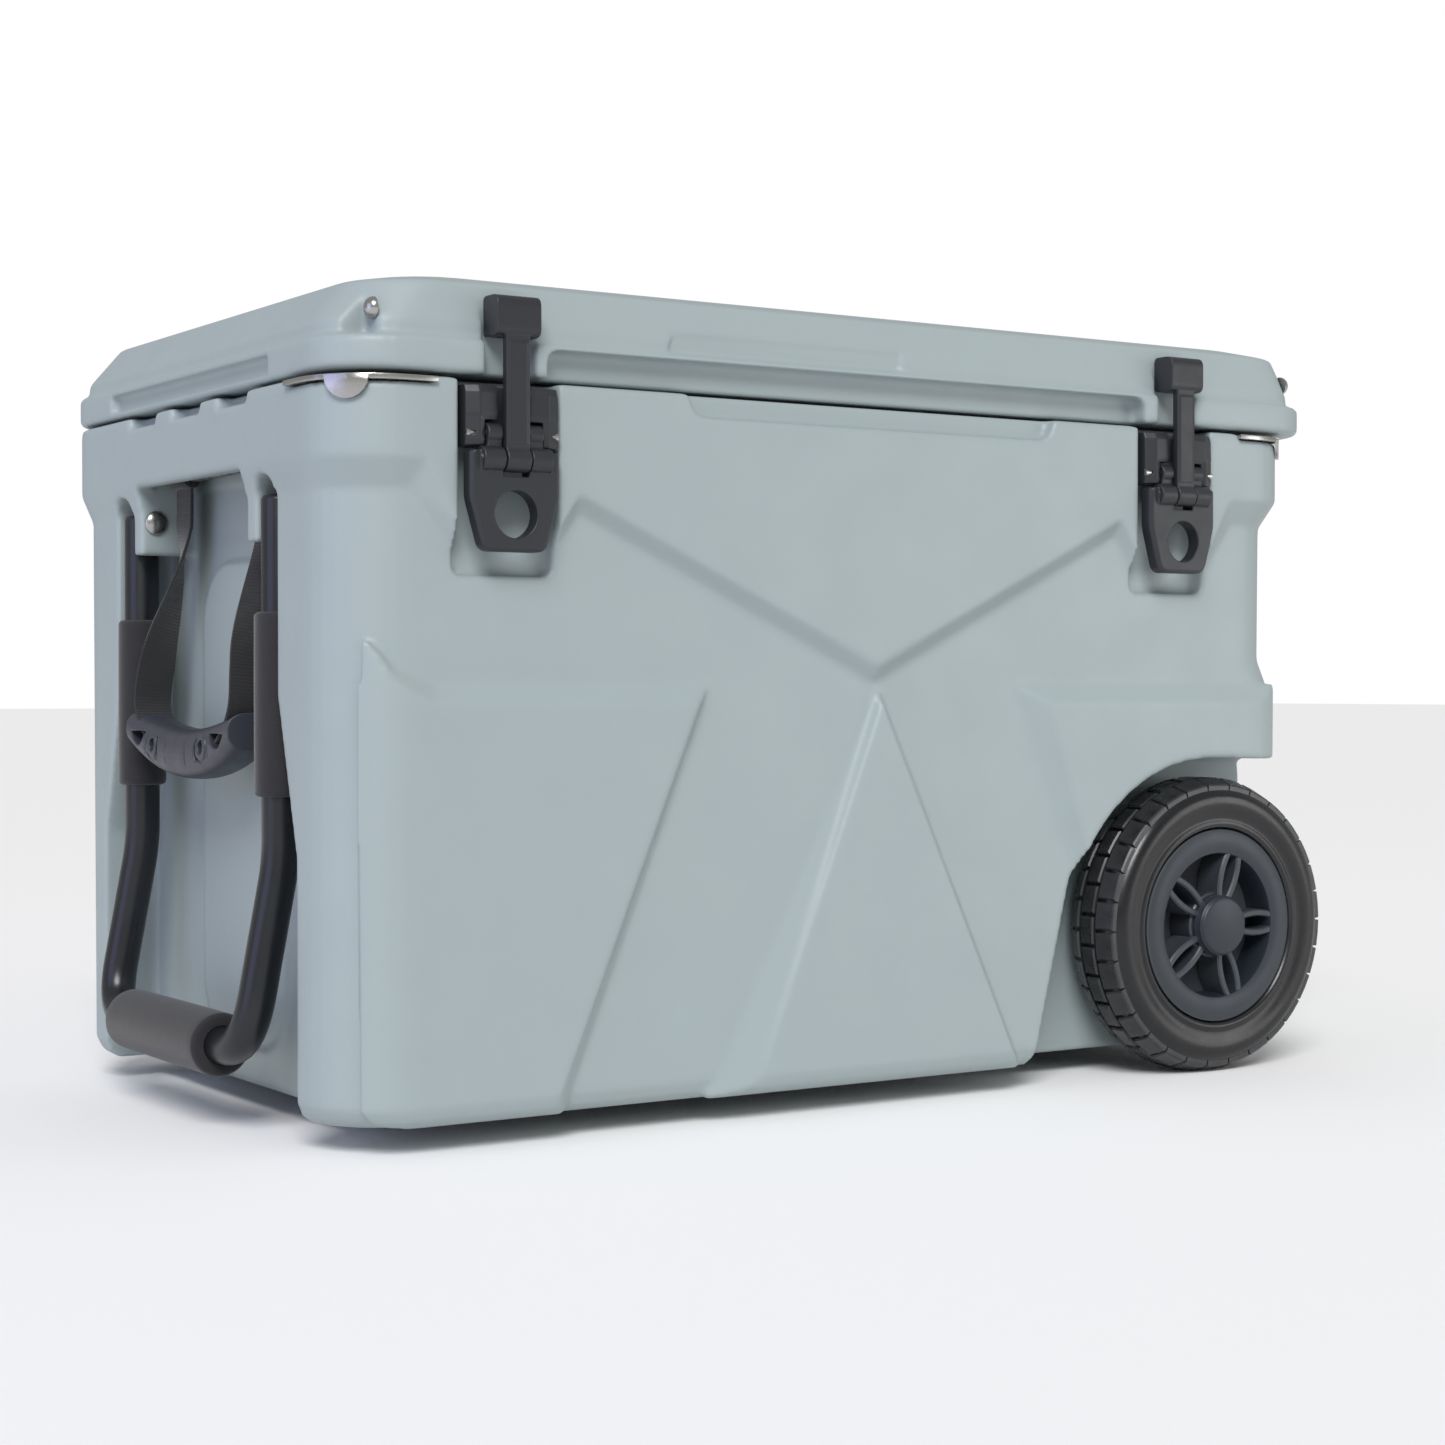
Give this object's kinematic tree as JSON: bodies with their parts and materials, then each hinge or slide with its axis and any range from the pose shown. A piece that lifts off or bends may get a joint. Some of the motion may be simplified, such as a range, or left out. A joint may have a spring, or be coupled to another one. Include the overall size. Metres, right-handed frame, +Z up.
{
  "type": "wheeled cooler",
  "caption": "Hard-sided cooler with a hinged lid, rubber pull latches, wheels on stub axles, a fold-out tow handle and a webbing carry handle.",
  "frame": {"origin": "middle of the whole cooler's box, at ground level", "axes": "+X towards the wheel end, -Y the latch side, +Z up"},
  "size_m": [0.7796, 0.4756, 0.499],
  "materials": {
    "body_plastic": "satin rotomoulded polyethylene, sage grey",
    "insulation_foam": "rigid polyurethane foam",
    "dark_plastic": "matt moulded nylon",
    "hub_plastic": "satin moulded polypropylene",
    "wheel_rubber": "moulded rubber",
    "foot_rubber": "moulded rubber",
    "latch_rubber": "satin moulded rubber",
    "grip_foam": "closed cell foam sleeve",
    "webbing": "ribbed polyester webbing",
    "steel": "stainless steel",
    "black_tube": "black powder-coated aluminium tube"
  },
  "bodies": {
    "tub": {"tub_shell": "body_plastic", "tub_foam_core": "insulation_foam", "tub_fill_plug": "dark_plastic", "corner_plate_left": "steel", "corner_plate_right": "steel", "hinge_pin_left": "steel", "hinge_pin_right": "steel", "webbing_rod": "steel", "handle_bolt_front": "steel", "handle_bolt_rear": "steel", "foot_front": "foot_rubber", "foot_rear": "foot_rubber", "drain_body": "dark_plastic", "drain_gasket": "foot_rubber", "drain_nut": "dark_plastic", "axle_front": "steel", "axle_rear": "steel", "axle_nut_front": "steel", "axle_nut_rear": "steel", "axle_washer_front": "steel", "axle_washer_rear": "steel", "latch_base_left": "latch_rubber", "latch_base_pin_left": "steel", "latch_screw_left_1": "steel", "latch_screw_left_2": "steel", "latch_base_right": "latch_rubber", "latch_base_pin_right": "steel", "latch_screw_right_1": "steel", "latch_screw_right_2": "steel"},
    "lid": {"lid_shell": "body_plastic", "lid_foam_core": "insulation_foam", "lid_fill_plug": "dark_plastic", "lid_gasket": "foot_rubber", "lid_stud_left": "steel", "lid_stud_right": "steel"},
    "lever_left": {"latch_lever_left": "latch_rubber", "latch_strap_pin_left": "steel"},
    "lever_right": {"latch_lever_right": "latch_rubber", "latch_strap_pin_right": "steel"},
    "strap_left": {"latch_strap_left": "latch_rubber"},
    "strap_right": {"latch_strap_right": "latch_rubber"},
    "wheel_front": {"tyre_front": "wheel_rubber", "wheel_hub_front": "hub_plastic", "hub_cap_front": "hub_plastic", "wheel_bush_front": "dark_plastic"},
    "wheel_rear": {"tyre_rear": "wheel_rubber", "wheel_hub_rear": "hub_plastic", "hub_cap_rear": "hub_plastic", "wheel_bush_rear": "dark_plastic"},
    "tow_handle": {"handle_tube": "black_tube", "arm_grip_front": "grip_foam", "arm_grip_rear": "grip_foam", "cross_grip": "grip_foam"},
    "carry_handle": {"carry_webbing": "webbing", "carry_grip": "dark_plastic"},
    "plug": {"drain_plug": "dark_plastic"}
  },
  "joints": [
    {"name": "lid_hinge", "type": "hinge", "parent": "tub", "child": "lid", "pos_m": [0.00925, 0.2298, 0.436], "axis": [-1, 0, 0], "range_deg": [0, 100]},
    {"name": "lever_left_pivot", "type": "hinge", "parent": "tub", "child": "lever_left", "pos_m": [-0.25775, -0.2272, 0.404], "axis": [-1, 0, 0], "range_deg": [0, 120]},
    {"name": "strap_left_pivot", "type": "hinge", "parent": "lever_left", "child": "strap_left", "pos_m": [-0.25775, -0.2312, 0.3895], "axis": [-1, 0, 0], "range_deg": [-132, 0]},
    {"name": "lever_right_pivot", "type": "hinge", "parent": "tub", "child": "lever_right", "pos_m": [0.24625, -0.2272, 0.404], "axis": [-1, 0, 0], "range_deg": [0, 120]},
    {"name": "strap_right_pivot", "type": "hinge", "parent": "lever_right", "child": "strap_right", "pos_m": [0.24625, -0.2312, 0.3895], "axis": [-1, 0, 0], "range_deg": [-132, 0]},
    {"name": "wheel_front_spin", "type": "hinge", "parent": "tub", "child": "wheel_front", "pos_m": [0.28975, -0.2012, 0.1], "axis": [0, 1, 0], "continuous": true},
    {"name": "wheel_rear_spin", "type": "hinge", "parent": "tub", "child": "wheel_rear", "pos_m": [0.28975, 0.1938, 0.1], "axis": [0, 1, 0], "continuous": true},
    {"name": "tow_handle_pivot", "type": "hinge", "parent": "tub", "child": "tow_handle", "pos_m": [-0.34975, -0.0037, 0.3675], "axis": [0, 1, 0], "range_deg": [0, 90]},
    {"name": "carry_handle_pivot", "type": "hinge", "parent": "tub", "child": "carry_handle", "pos_m": [-0.33775, -0.0037, 0.395], "axis": [0, 1, 0], "range_deg": [0, 60]},
    {"name": "plug_turn", "type": "hinge", "parent": "tub", "child": "plug", "pos_m": [0.37125, -0.0637, 0.073], "axis": [1, 0, 0], "range_deg": [0, 360]}
  ],
  "couplings": [
    {"joint": "strap_left_pivot", "follows": "lever_left_pivot", "ratio": -1.1},
    {"joint": "strap_right_pivot", "follows": "lever_right_pivot", "ratio": -1.1}
  ]
}
